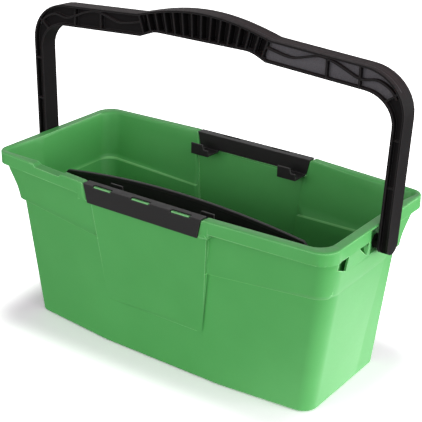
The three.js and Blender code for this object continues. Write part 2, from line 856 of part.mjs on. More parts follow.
// Fins across the grip, which fan out a little toward the top
function gripFins() {
  const reach = handleDepth / 2
  const half = gripRibThickness / 2
  const first = -((gripRibCount - 1) / 2) * gripRibSpacing
  const fins = []
  for (let i = 0; i < gripRibCount; i += 1) {
    const x = first + i * gripRibSpacing
    const tilt = THREE.MathUtils.radToDeg(Math.atan2(x, gripFanReach))
    const fin = block(-half, half, -reach, reach, barLow - gripTop, gripTop - barLow)
    fins.push(fin.rotate([0, tilt, 0]).translate([x, 0, gripLow]))
  }
  return wasm.Manifold.union(fins)
}

// The web between the bail's flanges: near the front, but deeper in the grip
function bailWeb(outline) {
  const middle = webThickness / 2
  const deep = prismAlongY(outline, -middle, middle)
  const shallow = prismAlongY(outline, webFace, webFace + webThickness)
  const grip = block(-shoulderOffset, shoulderOffset, -handleDepth, handleDepth, barLow, gripTop + overrun)
  const step = prismAlongY(outline, webFace, middle).intersect(grip).subtract(block(
    webThickness - shoulderOffset, shoulderOffset - webThickness,
    -handleDepth, handleDepth, barLow, gripTop + overrun))
  return shallow.subtract(grip).add(deep.intersect(grip)).add(step)
}

function bailHandle() {
  const half = handleDepth / 2
  const footLow = pivotHeight - half
  const whole = prismAlongY(bailShape(0, footLow), -half, half)
  const pocket = prismAlongY(bailShape(flangeThickness, footLow - overrun), -half - overrun, half + overrun)
  const web = bailWeb(bailShape(0, footLow))
  let handle = whole.subtract(pocket).add(web).add(handleRibs().add(gripFins()).intersect(whole))
  const feet = drumAlongX(half, -legFoot - handleThickness, legFoot + handleThickness, pivotHeight)
  const above = block(
    -rimHalfLength * 2, rimHalfLength * 2, -half - overrun, half + overrun, pivotHeight, gripTop + overrun)
  handle = handle.intersect(above.add(feet))
  const bossFace = rimHalfLength - recessDepth + runningGap
  const pinEnd = openingSizes.length + pinBackWall + runningGap
  for (const side of [0, 180]) {
    const boss = drumAlongX(bossRadius, bossFace, legFoot + flangeThickness, pivotHeight)
    const pin = drumAlongX(pinRadius, pinEnd, bossFace + overrun, pivotHeight)
    handle = handle.add(boss.add(pin).rotate([0, 0, side]))
  }
  const lean = THREE.MathUtils.radToDeg(handleLeanAngle)
  return handle.translate([0, 0, -pivotHeight]).rotate([-lean, 0, 0]).translate([0, 0, pivotHeight])
}

// Front view of the screen: upright ends, cut corners and an arched top edge
function screenShape(low, drop) {
  const shoulder = screenCrown - screenArch - drop
  const shape = new THREE.Shape()
  shape.moveTo(-screenHalfLength, low)
  shape.lineTo(screenHalfLength, low)
  shape.lineTo(screenHalfLength, shoulder - screenCorner)
  shape.lineTo(screenHalfLength - screenCorner, shoulder)
  shape.quadraticCurveTo(0, screenCrown + screenArch - drop, screenCorner - screenHalfLength, shoulder)
  shape.lineTo(-screenHalfLength, shoulder - screenCorner)
  return shape
}

function drainScreen() {
  const low = wallThickness + seatGap
  const back = -screenOffset + screenThickness / 2
  const front = back - screenThickness
  const plate = prismAlongY(screenShape(low, 0), front, back, archSteps)
  const bead = prismAlongY(screenShape(low, 0), front - screenBeadProud, back, archSteps)
  const underBead = prismAlongY(
    screenShape(low - overrun, screenBeadWidth), front - overrun, back + overrun, archSteps)
  const foot = block(
    -screenHalfLength, screenHalfLength, front, back + screenFoot, low, low + screenThickness)
  const first = -((screenSlotCount - 1) / 2) * screenSlotPitch
  const slots = []
  for (let i = 0; i < screenSlotCount; i += 1) {
    const middle = first + i * screenSlotPitch
    for (const row of [0, 1]) {
      const start = screenSlotStart + row * (screenSlotHeight + screenSlotRowGap)
      slots.push(block(
        middle - screenSlotWidth / 2, middle + screenSlotWidth / 2,
        front - overrun, back + overrun, start, start + screenSlotHeight))
    }
  }
  return plate.add(bead.subtract(underBead)).add(foot).subtract(wasm.Manifold.union(slots))
}

const bucket = new THREE.Group()
bucket.add(meshOf('tub', tub(), greenPlastic))
const frontClip = turned(toolClip(frontSlotPlaces, frontSlotSpacing, rimHalfWidth + overrun))
const rearClip = toolClip(rearSlotPlaces, rearSlotSpacing, rimHalfWidth - slotEdgeThickness)
bucket.add(meshOf('rear_tool_clip', rearClip, blackPlastic))
bucket.add(meshOf('front_tool_clip', frontClip, blackPlastic))
bucket.add(meshOf('bail_handle', bailHandle(), blackPlastic))
bucket.add(meshOf('drain_screen', drainScreen(), blackPlastic))

export default bucket
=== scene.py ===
# %% [markdown]
# A window cleaning bucket
#
# The real thing is a long rectangular tub of green polypropylene with a black bail, two black
# tool clips on its long rims and a black drain screen standing inside. Every part is injection
# moulded, so what makes it look real is the moulding itself: soft edges where the steel mould
# was rounded, thin ribs, a fine satin grain and small scuffs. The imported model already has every
# part at its true size, so this file gives each one a finished surface.

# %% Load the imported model
import math

import bmesh
import bpy
from mathutils import Matrix, Vector
from mathutils.bvhtree import BVHTree


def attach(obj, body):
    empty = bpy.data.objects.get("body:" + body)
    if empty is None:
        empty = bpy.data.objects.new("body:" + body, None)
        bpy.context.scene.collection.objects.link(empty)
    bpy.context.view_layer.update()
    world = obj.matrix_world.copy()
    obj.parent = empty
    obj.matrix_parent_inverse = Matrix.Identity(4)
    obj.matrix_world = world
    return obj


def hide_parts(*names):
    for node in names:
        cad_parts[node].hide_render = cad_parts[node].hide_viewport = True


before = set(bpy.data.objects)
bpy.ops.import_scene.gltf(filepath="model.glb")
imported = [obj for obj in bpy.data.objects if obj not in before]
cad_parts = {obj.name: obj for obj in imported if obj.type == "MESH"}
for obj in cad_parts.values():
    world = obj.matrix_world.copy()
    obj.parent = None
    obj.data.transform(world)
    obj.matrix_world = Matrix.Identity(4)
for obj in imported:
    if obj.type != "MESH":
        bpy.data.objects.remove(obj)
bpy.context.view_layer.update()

MM = 0.001

# %% [markdown]
# The camera
#
# The photograph was taken from the front right and a little above, with a long lens. A camera
# could be placed by hand, but one that stands on a circle round the object is easier to describe:
# by an azimuth, an elevation and a distance, with a small shift of the point it circles and a
# small roll. The field of view follows from how many picture widths away the object seems to be.

# %% Where the camera stands
AZIMUTH = math.radians(36.14)
ELEVATION = math.radians(23.89)
ROLL = math.radians(-0.51)
DISTANCE = 1.5119
AIM_RIGHT = 0.01214
AIM_HEIGHT = 0.18834

right = Vector((math.cos(AZIMUTH), math.sin(AZIMUTH), 0))
back = Vector((
    math.sin(AZIMUTH) * math.cos(ELEVATION),
    -math.cos(AZIMUTH) * math.cos(ELEVATION),
    math.sin(ELEVATION),
))
up = back.cross(right)
rolled_right = right * math.cos(ROLL) - up * math.sin(ROLL)
rolled_up = right * math.sin(ROLL) + up * math.cos(ROLL)
stand = right * AIM_RIGHT + Vector((0, 0, AIM_HEIGHT)) + back * DISTANCE
print("camera at:", [round(x, 3) for x in stand])

# %% Camera
SENSOR_WIDTH = 36.0
FOCAL_WIDTHS = 2.6987

camera = bpy.data.objects.new("camera", bpy.data.cameras.new("camera"))
camera.data.sensor_width = SENSOR_WIDTH
camera.data.lens = FOCAL_WIDTHS * SENSOR_WIDTH
camera.matrix_world = Matrix.Translation(stand) @ Matrix(
    (rolled_right, rolled_up, back)).transposed().to_4x4()
bpy.context.scene.collection.objects.link(camera)
bpy.context.scene.camera = camera
bpy.context.scene.view_settings.view_transform = "Standard"
print("lens:", round(camera.data.lens, 1), "mm")

# %% [markdown]
# Colours
#
# Colours are easier to pick and to read as the hex values that a screen shows, but a shader
# works in linear light. One function turns the one into the other with the sRGB curve, so that
# every colour in this file can stand as it looks.

# %% Hex colours in linear light
FULL_CHANNEL = 255
SRGB_KNEE = 0.04045
SRGB_FOOT = 12.92
SRGB_OFFSET = 0.055
SRGB_POWER = 2.4


def linear(hex_colour):
    """An sRGB hex colour as linear red, green, blue and alpha."""
    channels = [int(hex_colour[i:i + 2], 16) / FULL_CHANNEL for i in (1, 3, 5)]
    curve = [c / SRGB_FOOT if c <= SRGB_KNEE
             else ((c + SRGB_OFFSET) / (1 + SRGB_OFFSET)) ** SRGB_POWER for c in channels]
    return (*curve, 1.0)


print("a mid grey in linear light:", round(linear("#808080")[0], 3))


# %% [markdown]
# Building materials
#
# A node material takes many lines when each node, value and link is written on its own. One
# small function that adds a node with its settings and its links keeps every material below
# short enough to read from top to bottom.

# %% Helpers for materials
def add_node(material, kind, settings=None, links=None):
    """Adds a node, sets its properties or input values, and links its inputs."""
    tree = material.node_tree
    node = tree.nodes.new(kind)
    for name, value in (settings or {}).items():
        if isinstance(name, str) and hasattr(node, name):
            setattr(node, name, value)
        else:
            node.inputs[name].default_value = value
    for name, source in (links or {}).items():
        tree.links.new(source, node.inputs[name])
    return node


def new_material(name):
    """An empty node material and its output node."""
    material = bpy.data.materials.new(name)
    material.use_nodes = True
    material.node_tree.nodes.clear()
    return material, add_node(material, "ShaderNodeOutputMaterial")


# %% [markdown]
# The floor
#
# The bucket stands on a white studio sweep of matt paper. A curved sheet would give the same
# picture, but a large flat square is simpler and looks right from every side.

# %% Floor
FLOOR_HALF = 6.0

floor_mesh = bpy.data.meshes.new("floor")
floor_mesh.from_pydata(
    [(-FLOOR_HALF, -FLOOR_HALF, 0), (FLOOR_HALF, -FLOOR_HALF, 0),
     (FLOOR_HALF, FLOOR_HALF, 0), (-FLOOR_HALF, FLOOR_HALF, 0)],
    [], [(0, 1, 2, 3)])
floor = bpy.data.objects.new("floor", floor_mesh)
bpy.context.scene.collection.objects.link(floor)
print("floor:", 2 * FLOOR_HALF, "m across")

# %% [markdown]
# How far the paper is from the tub
#
# The paper has to change with its distance from the tub's footprint: it keeps the shadow close
# by, and turns plain white further out. The distance to a rectangle is the length of what is left
# of a place once half the rectangle has been taken off on each side.

# %% Distance from the footprint
FOOTPRINT = (0.226, 0.092, 1.0)
GLOW_START = 0.02
GLOW_END = 0.11

paper, paper_out = new_material("matt_white_studio_paper")
paper_place = add_node(paper, "ShaderNodeTexCoord").outputs["Object"]
paper_side = add_node(paper, "ShaderNodeVectorMath", {"operation": "ABSOLUTE"}, {0: paper_place})
paper_past = add_node(paper, "ShaderNodeVectorMath", {
    "operation": "SUBTRACT", 1: FOOTPRINT}, {0: paper_side.outputs[0]})
paper_gap = add_node(paper, "ShaderNodeVectorMath", {
    "operation": "MAXIMUM", 1: (0, 0, 0)}, {0: paper_past.outputs[0]})
paper_reach = add_node(paper, "ShaderNodeVectorMath", {
    "operation": "LENGTH"}, {0: paper_gap.outputs[0]})
paper_far = add_node(paper, "ShaderNodeMapRange", {
    "interpolation_type": "SMOOTHSTEP", "From Min": GLOW_START, "From Max": GLOW_END},
    {"Value": paper_reach.outputs["Value"]})
print("the paper is plain white", round(GLOW_END / MM), "mm from the tub")

# %% [markdown]
# The paper that the camera sees
#
# Brighter lamps would turn the paper white, but they would bleach the bucket too. So the paper is
# brighter for the camera alone, and glows a little further out, where it meets the white
# background and the horizon disappears. Close to the tub it is tinted against the green light
# that the tub throws on it.

# %% Paper for the camera
PAPER_COLOUR = linear("#dcdcdc")
PAPER_GAIN = 2.35
PAPER_TINT = (1.0, 0.87, 1.0)

paper_glow = add_node(paper, "ShaderNodeEmission", None, {"Strength": paper_far.outputs[0]})
bright = [c * PAPER_GAIN for c in PAPER_COLOUR[:3]]
tinted = [c * t for c, t in zip(bright, PAPER_TINT)]
paper_colour = add_node(paper, "ShaderNodeMix", {
    "data_type": "RGBA", 6: (*tinted, 1.0), 7: (*bright, 1.0)}, {0: paper_far.outputs[0]})
paper_seen = add_node(paper, "ShaderNodeBsdfDiffuse", None, {"Color": paper_colour.outputs[2]})
paper_both = add_node(paper, "ShaderNodeAddShader", None, {
    0: paper_seen.outputs[0], 1: paper_glow.outputs[0]})
print("paper for the camera:", [round(c, 2) for c in bright])

# %% [markdown]
# The paper that the lamps and the plastic see
#
# For the light that it bounces, the paper is plain pale grey. In a studio the floor on the lit
# side is the brightest thing that the end wall reflects, and it gives that wall its soft sheen.
# A round bright patch that only reflections find does the same without lighting anything.

# %% Paper for bounces and reflections
GLEAM_AT = (0.38, 0.05, 0.0)
GLEAM_START = 0.1
GLEAM_END = 0.4
GLEAM_LEVEL = 2.0

paper_matt = add_node(paper, "ShaderNodeBsdfDiffuse", {"Color": PAPER_COLOUR})
paper_path = add_node(paper, "ShaderNodeLightPath")
paper_from = add_node(paper, "ShaderNodeVectorMath", {
    "operation": "DISTANCE", 1: GLEAM_AT}, {0: paper_place})
paper_patch = add_node(paper, "ShaderNodeMapRange", {
    "interpolation_type": "SMOOTHSTEP", "From Min": GLEAM_START, "From Max": GLEAM_END,
    "To Min": GLEAM_LEVEL, "To Max": 0.0}, {"Value": paper_from.outputs["Value"]})
paper_gleam = add_node(paper, "ShaderNodeMath", {"operation": "MULTIPLY"}, {
    0: paper_patch.outputs[0], 1: paper_path.outputs["Is Glossy Ray"]})
paper_shine = add_node(paper, "ShaderNodeEmission", None, {"Strength": paper_gleam.outputs[0]})
paper_plain = add_node(paper, "ShaderNodeAddShader", None, {
    0: paper_matt.outputs[0], 1: paper_shine.outputs[0]})
paper_mix = add_node(paper, "ShaderNodeMixShader", None, {
    0: paper_path.outputs["Is Camera Ray"], 1: paper_plain.outputs[0], 2: paper_both.outputs[0]})
paper.node_tree.links.new(paper_mix.outputs[0], paper_out.inputs["Surface"])
floor_mesh.materials.append(paper)
print("paper nodes:", len(paper.node_tree.nodes))

# %% [markdown]
# The light tent
#
# A product photograph is lit through white cloth on all sides. Large lamps could stand for the
# cloth, but a world whose brightness depends on the direction is smoother: some light from
# everywhere, most from the right and some from the front. The camera and the reflections see
# plain white instead.

# %% World
DOME_EVEN = 0.22
DOME_RIGHT = 1.0
DOME_FRONT = 0.62
DOME_SPREAD = 1.5

world = bpy.data.worlds.new("light_tent")
world.use_nodes = True
world.node_tree.nodes.clear()
direction = add_node(world, "ShaderNodeTexCoord").outputs["Generated"]
dome_level = add_node(world, "ShaderNodeValue")
dome_level.outputs[0].default_value = DOME_EVEN
for toward, level in (((1, 0, 0), DOME_RIGHT), ((0, -1, 0), DOME_FRONT)):
    facing = add_node(world, "ShaderNodeVectorMath", {
        "operation": "DOT_PRODUCT", 1: toward}, {0: direction})
    lit = add_node(world, "ShaderNodeMath", {
        "operation": "MAXIMUM", 1: 0.0}, {0: facing.outputs["Value"]})
    soft = add_node(world, "ShaderNodeMath", {
        "operation": "POWER", 1: DOME_SPREAD}, {0: lit.outputs[0]})
    dome_level = add_node(world, "ShaderNodeMath", {
        "operation": "MULTIPLY_ADD", 1: level}, {0: soft.outputs[0], 2: dome_level.outputs[0]})
dome = add_node(world, "ShaderNodeBackground", None, {"Strength": dome_level.outputs[0]})
print("dome:", DOME_EVEN, "plus", DOME_RIGHT, "from the right and", DOME_FRONT, "from the front")

# %% White background
white = add_node(world, "ShaderNodeBackground", {"Color": linear("#ffffff"), "Strength": 1.0})
path = add_node(world, "ShaderNodeLightPath")
seen = add_node(world, "ShaderNodeMath", {"operation": "MAXIMUM"}, {
    0: path.outputs["Is Camera Ray"], 1: path.outputs["Is Glossy Ray"]})
seen = add_node(world, "ShaderNodeMath", {"operation": "MAXIMUM"}, {
    0: seen.outputs[0], 1: path.outputs["Is Transmission Ray"]})
world_mix = add_node(world, "ShaderNodeMixShader", None, {
    0: seen.outputs[0], 1: dome.outputs[0], 2: white.outputs[0]})
world_out = add_node(world, "ShaderNodeOutputWorld")
world.node_tree.links.new(world_mix.outputs[0], world_out.inputs["Surface"])
bpy.context.scene.world = world
print("world nodes:", len(world.node_tree.nodes))

# %% [markdown]
# The lamps
#
# Square softboxes add the few clear highlights that a tent alone leaves out. The key lamp stands
# to the right and lights the end wall, a weaker one in front keeps the long wall even, and one
# behind and to the right draws pale lines on the edges that face it.

# %% Lamps
TUB_MIDDLE = (0, 0, 0.12)
SOFTBOXES = {  # name: place and width in metres, power in watts
    "key_lamp": ((2.0, 0.1, 0.45), 1.2, 24),
    "front_lamp": ((-0.5, -2.1, 0.6), 1.2, 12.3),
    "end_lamp": ((1.4, 1.9, 0.5), 1.0, 11),
}

for name, (place, width, power) in SOFTBOXES.items():
    lamp = bpy.data.objects.new(name, bpy.data.lights.new(name, "AREA"))
    lamp.data.shape = "SQUARE"
    lamp.data.size = width
    lamp.data.energy = power
    lamp.location = place
    lamp.rotation_mode = "QUATERNION"
    lamp.rotation_quaternion = (Vector(TUB_MIDDLE) - Vector(place)).to_track_quat("-Z", "Y")
    bpy.context.scene.collection.objects.link(lamp)
    print(name, "at", place, "with", power, "W")

# %% [markdown]
# Moulded polypropylene: the pattern in the skin
#
# Injection moulded polypropylene takes its skin from the steel. A textured mould leaves a very
# fine grain, the melt leaves faint clouds of colour where it flowed, and use leaves hairline
# scuffs. Pictures of such a surface would stretch and repeat, so three noises make them instead,
# each with a width in millimetres. The real grain is about 0.2 mm wide, too fine for the
# picture, so it is drawn at about 1 mm.

# %% Clouds, grain and scuffs
CLOUD_WIDTH = 60 * MM
GRAIN_WIDTH = 1.1 * MM
SCUFF_WIDTH = 9 * MM
SCUFF_TURN = (0.4, 0.9, 0.3)
SCUFF_SQUEEZE = (1.0, 1.0, 14.0)


def skin_pattern(material):
    """The clouds, the grain and the long thin scuffs in a moulded skin."""
    place = add_node(material, "ShaderNodeTexCoord").outputs["Object"]
    cloud = add_node(material, "ShaderNodeTexNoise", {
        "Scale": 1 / CLOUD_WIDTH, "Detail": 3.0}, {"Vector": place})
    grain = add_node(material, "ShaderNodeTexNoise", {
        "Scale": 1 / GRAIN_WIDTH, "Detail": 2.0}, {"Vector": place})
    squeezed = add_node(material, "ShaderNodeMapping", {
        "Rotation": SCUFF_TURN, "Scale": SCUFF_SQUEEZE}, {"Vector": place})
    scuff = add_node(material, "ShaderNodeTexNoise", {
        "Scale": 1 / SCUFF_WIDTH, "Detail": 6.0, "Roughness": 0.7},
        {"Vector": squeezed.outputs[0]})
    return cloud.outputs["Fac"], grain.outputs["Fac"], scuff.outputs["Fac"]


print("grain:", round(GRAIN_WIDTH / MM, 2), "mm, scuffs:", round(SCUFF_WIDTH / MM, 2), "mm")

# %% [markdown]
# Moulded polypropylene: painted edge highlights
#
# The light catches the edges of such a bucket as thin pale lines, and these highlights are painted
# into its colour. They could be painted by hand, but the shape itself tells where they are: a
# Bevel node gives the direction of the surface as if every edge were rounded, and where that
# differs from the surface's own direction, there is an edge to paint a highlight on.

# %% Painted edge highlights
HIGHLIGHT_RADIUS = 1.6 * MM
HIGHLIGHT_SAMPLES = 8
HIGHLIGHT_START = 0.999
HIGHLIGHT_END = 0.97


def painted_edge_highlights(material, edge_highlight):
    """A mask of painted highlights that rises to the given strength on edges."""
    own_normal = add_node(material, "ShaderNodeNewGeometry").outputs["Normal"]
    wide = add_node(material, "ShaderNodeBevel", {"samples": HIGHLIGHT_SAMPLES, "Radius": HIGHLIGHT_RADIUS})
    turn = add_node(material, "ShaderNodeVectorMath", {"operation": "DOT_PRODUCT"}, {
        0: wide.outputs[0], 1: own_normal})
    mask = add_node(material, "ShaderNodeMapRange", {
        "From Min": HIGHLIGHT_START, "From Max": HIGHLIGHT_END, "To Min": 0.0, "To Max": edge_highlight},
        {"Value": turn.outputs["Value"]})
    return mask.outputs[0]


# The printed width is that of the painted edge highlights.
print("edges are rubbed", round(HIGHLIGHT_RADIUS / MM, 2), "mm wide")

# %% [markdown]
# Moulded polypropylene: the colour
#
# One flat colour would look like paint. Two colours a shade apart, mixed by the clouds, look like
# pigment in plastic. The same paler colour serves the scuffs, which are worn plastic, and the
# painted highlights along the edges.

# %% Colour of the skin
CLOUD_START, CLOUD_END = 0.35, 0.7
SCUFF_START, SCUFF_END, SCUFF_STRENGTH = 0.62, 0.78, 0.25


def skin_colour_with_wear_and_highlights(material, colour, cloud_colour, wear_and_highlight_colour, cloud, scuff, edge_highlight):
    """The clouded colour of the skin, paler on its scuffs and on its painted edge highlights."""
    cloud_mask = add_node(material, "ShaderNodeMapRange", {
        "From Min": CLOUD_START, "From Max": CLOUD_END}, {"Value": cloud})
    base = add_node(material, "ShaderNodeMix", {
        "data_type": "RGBA", 6: linear(colour), 7: linear(cloud_colour)},
        {0: cloud_mask.outputs[0]})
    scuff_mask = add_node(material, "ShaderNodeMapRange", {
        "From Min": SCUFF_START, "From Max": SCUFF_END,
        "To Min": 0.0, "To Max": SCUFF_STRENGTH}, {"Value": scuff})
    # The scuffs are wear; the edge mask is painted highlight, and both take the paler colour.
    wear_and_highlight_mask = add_node(material, "ShaderNodeMath", {"operation": "MAXIMUM"}, {
        0: painted_edge_highlights(material, edge_highlight), 1: scuff_mask.outputs[0]})
    worn_and_highlit = add_node(material, "ShaderNodeMix", {
        "data_type": "RGBA", 7: linear(wear_and_highlight_colour)},
        {0: wear_and_highlight_mask.outputs[0], 6: base.outputs[2]})
    return worn_and_highlit.outputs[2]


# %% [markdown]
# Moulded polypropylene: the whole finish
#
# Polypropylene is a milky, waxy plastic with an index of refraction close to 1.49. To the eye its
# moulded skin gives broad soft highlights, an almost even colour with a little depth, and
# softened edges, where a second Bevel node rounds the light by the radius of the mould's corners.

# %% Finish of moulded polypropylene
PLASTIC_IOR = 1.49
MILKINESS = 0.05
MILK_DEPTH = 3 * MM
EDGE_RADIUS = 0.9 * MM
EDGE_SAMPLES = 6
GRAIN_STRENGTH = 0.2
SHEEN_START, SHEEN_END = 0.3, 0.7
SMOOTHER, ROUGHER = 0.04, 0.06


def moulded_plastic(name, colour, cloud_colour, wear_and_highlight_colour, roughness, grain_depth, edge_highlight, gloss):
    """Satin moulded polypropylene with grain, flow clouds, faint scuffs and painted edge
    highlights.
    """
    material, out = new_material(name)
    cloud, grain, scuff = skin_pattern(material)
    worn_and_highlit = skin_colour_with_wear_and_highlights(material, colour, cloud_colour, wear_and_highlight_colour, cloud, scuff, edge_highlight)
    rough = add_node(material, "ShaderNodeMapRange", {
        "From Min": SHEEN_START, "From Max": SHEEN_END,
        "To Min": roughness - SMOOTHER, "To Max": roughness + ROUGHER}, {"Value": scuff})
    rounded = add_node(material, "ShaderNodeBevel", {
        "samples": EDGE_SAMPLES, "Radius": EDGE_RADIUS})
    bump = add_node(material, "ShaderNodeBump", {
        "name": "grain_bump", "Strength": GRAIN_STRENGTH, "Distance": grain_depth},
        {"Height": grain, "Normal": rounded.outputs[0]})
    skin = add_node(material, "ShaderNodeBsdfPrincipled", {
        "name": "skin", "IOR": PLASTIC_IOR, "Specular IOR Level": gloss,
        "Subsurface Weight": MILKINESS, "Subsurface Scale": MILK_DEPTH},
        {"Base Color": worn_and_highlit, "Roughness": rough.outputs[0], "Normal": bump.outputs[0]})
    material.node_tree.links.new(skin.outputs[0], out.inputs["Surface"])
    return material


# %% [markdown]
# The green of the tub and the black of the rest
#
# The tub's green is a clear pigment in milky plastic, so it stays bright in the light, and its
# scuffs and the painted highlights on its edges are a pale green. The black parts hold soot black,
# which hides the milkiness: they look darker and duller, with a slightly deeper grain, and their
# scuffs and painted edge highlights are grey.

# %% Green and black plastic
# Each plastic's pale colour is shared by its scuffs and its painted edge highlights, whose
# strength is given after the grain depth.
green_plastic = moulded_plastic(
    "moulded_green_polypropylene", colour="#55b15b", cloud_colour="#59b55f",
    wear_and_highlight_colour="#9be69b", roughness=0.46, grain_depth=0.12 * MM, edge_highlight=0.8, gloss=0.5)
black_plastic = moulded_plastic(
    "moulded_black_polypropylene", colour="#1d1b1c", cloud_colour="#201e1f",
    wear_and_highlight_colour="#524f50", roughness=0.5, grain_depth=0.15 * MM, edge_highlight=0.35, gloss=0.35)
print("plastics:", green_plastic.name, "and", black_plastic.name)

# %% [markdown]
# Where the bail is painted lighter
#
# The flat fields between the ribs near the bail's right end take more light from the right than
# those at its left end, and that light is painted into their colour: a paler colour with a sandy
# grain that stops at the ribs and at the diagonal brace in the bend. The mask is tied to places on
# the bail: to the plane in which the fields lie, on the leaning bail, and to the side of the brace
# on which a place is.

# %% Painted light on the bail's fields
LEAN = math.radians(2.2)
PIVOT_HEIGHT = 220 * MM
FIELD_DEPTH = -6.0 * MM - PIVOT_HEIGHT * math.sin(LEAN)
FIELD_REACH = 0.4 * MM
FIELD_START = 62 * MM
BRACE_AT = Vector((271 * MM, 0, 402.5 * MM))
BRACE_ANGLE = math.radians(37)


def painted_light_fields(material, place, depth):
    """A mask for painted light, 1 on the flat fields between the grip and the brace in the bend.
    """
    along = add_node(material, "ShaderNodeSeparateXYZ", None, {0: place})
    in_plane = add_node(material, "ShaderNodeMath", {
        "operation": "COMPARE", 1: FIELD_DEPTH, 2: FIELD_REACH}, {0: depth})
    past_grip = add_node(material, "ShaderNodeMath", {
        "operation": "GREATER_THAN", 1: FIELD_START}, {0: along.outputs["X"]})
    outward = Vector((math.sin(BRACE_ANGLE), 0, -math.cos(BRACE_ANGLE)))
    toward_leg = add_node(material, "ShaderNodeVectorMath", {
        "operation": "DOT_PRODUCT", 1: outward}, {0: place})
    before_brace = add_node(material, "ShaderNodeMath", {
        "operation": "LESS_THAN", 1: outward.dot(BRACE_AT)}, {0: toward_leg.outputs["Value"]})
    on_bar = add_node(material, "ShaderNodeMath", {"operation": "MULTIPLY"}, {
        0: before_brace.outputs[0], 1: past_grip.outputs[0]})
    field = add_node(material, "ShaderNodeMath", {"operation": "MULTIPLY"}, {
        0: in_plane.outputs[0], 1: on_bar.outputs[0]})
    return field.outputs[0]


print("fields at depth", round(FIELD_DEPTH / MM, 2), "mm")

# %% [markdown]
# The bail's polishing lines
#
# The steel of the bail's mould was polished lengthwise, which leaves fine lines along the
# plastic. They are too shallow to model, so a bump follows a noise that changes only with the
# depth of the bail. They are really a few tenths of a millimetre apart and are drawn at 2.4 mm,
# so that they show.

# %% Polishing lines
LINE_SPACING = 2.4 * MM
LINE_DEPTH = 0.25 * MM
LINE_STRENGTH = 0.5


def polishing_lines(material, depth):
    """Raises fine lines along the bail over its grain, and gives the height of the lines."""
    nodes = material.node_tree.nodes
    lines = add_node(material, "ShaderNodeTexNoise", {
        "noise_dimensions": "1D", "Scale": 1 / LINE_SPACING, "Detail": 1.0}, {"W": depth})
    lined = add_node(material, "ShaderNodeBump", {
        "Strength": LINE_STRENGTH, "Distance": LINE_DEPTH},
        {"Height": lines.outputs["Fac"], "Normal": nodes["grain_bump"].outputs[0]})
    material.node_tree.links.new(lined.outputs[0], nodes["skin"].inputs["Normal"])
    return lines.outputs["Fac"]


print("lines about every", round(LINE_SPACING / MM, 2), "mm")

# %% [markdown]
# A painted sheen on top of the bail
#
# On top of the bail, the raised lines catch the light as a brownish grey sheen, which is painted
# into the colour and breaks the black into faint streaks. The sheen is painted where the surface
# faces up along the leaning bail and where the lines are high, so the mask is the product of the
# two.

# %% Painted sheen on top of the bail
TOP_START, TOP_END = 0.4, 0.9
STREAK_START, STREAK_END = 0.35, 0.65


def painted_top_sheen(material, normal, lines):
    """A mask for the painted sheen on the raised lines on top of the bail."""
    upward = add_node(material, "ShaderNodeVectorMath", {
        "operation": "DOT_PRODUCT", 1: (0, math.sin(LEAN), math.cos(LEAN))}, {0: normal})
    on_top = add_node(material, "ShaderNodeMapRange", {
        "From Min": TOP_START, "From Max": TOP_END}, {"Value": upward.outputs["Value"]})
    streak = add_node(material, "ShaderNodeMapRange", {
        "From Min": STREAK_START, "From Max": STREAK_END}, {"Value": lines})
    sheen_mask = add_node(material, "ShaderNodeMath", {"operation": "MULTIPLY"}, {
        0: on_top.outputs[0], 1: streak.outputs[0]})
    return sheen_mask.outputs[0]


# The printed angle is where the painted sheen reaches full strength.
print("fully handled within", round(math.degrees(math.acos(TOP_END))), "degrees of the top")

# %% [markdown]
# The bail's plastic as a whole
#
# The bail's finish is the black plastic with these three things added: painted light on its
# fields, the polishing lines and a painted sheen on its top. It is also the dullest of the black
# parts, with hardly any gloss left on it, and copying the plain material keeps the rest of its
# skin the same as on the clips and the screen.

# %% Black plastic with mould lines and painted light
SAND_WIDTH = 1.6 * MM
BAIL_GLOSS = 0.03


def lined_with_painted_light(name, plain):
    """The black plastic with painted light on its sandy fields, lengthwise lines and a painted
    sheen on top.
    """
    material = plain.copy()
    material.name = name
    skin = material.node_tree.nodes["skin"]
    skin.inputs["Specular IOR Level"].default_value = BAIL_GLOSS
    coordinates = add_node(material, "ShaderNodeTexCoord")
    place = coordinates.outputs["Object"]
    depth = add_node(material, "ShaderNodeVectorMath", {
        "operation": "DOT_PRODUCT", 1: (0, math.cos(LEAN), -math.sin(LEAN))},
        {0: place}).outputs["Value"]
    sand = add_node(material, "ShaderNodeTexNoise", {
        "Scale": 1 / SAND_WIDTH, "Detail": 2.0}, {"Vector": place})
    # The paler sandy colour is painted light on the fields near the right end.
    sandy_painted_light = add_node(material, "ShaderNodeMix", {
        "data_type": "RGBA", 6: linear("#4f4c50"), 7: linear("#737075")},
        {0: sand.outputs["Fac"]})
    colour = add_node(material, "ShaderNodeMix", {"data_type": "RGBA"}, {
        0: painted_light_fields(material, place, depth),
        6: skin.inputs["Base Color"].links[0].from_socket, 7: sandy_painted_light.outputs[2]})
    lines = polishing_lines(material, depth)
    sheen_mask = painted_top_sheen(material, coordinates.outputs["Normal"], lines)
    # The brownish grey is the painted sheen on top of the bail.
    sheened_colour = add_node(material, "ShaderNodeMix", {
        "data_type": "RGBA", 7: linear("#453a3c")}, {0: sheen_mask, 6: colour.outputs[2]})
    material.node_tree.links.new(sheened_colour.outputs[2], skin.inputs["Base Color"])
    return material


bail_plastic = lined_with_painted_light("black_polypropylene_with_mould_lines_and_painted_light", black_plastic)
print("bail's plastic:", len(bail_plastic.node_tree.nodes), "nodes")

# %% [markdown]
# Where the ledge catches the light
#
# These buckets are stacked inside one another and rest on the step in their walls. The step
# catches the light as one crisp pale line, and this highlight is painted into the colour as a thin
# band. The band could be a strip of its own faces, but the step has a simple rule, which a mask
# can follow: level in the middle and climbing toward both ends.

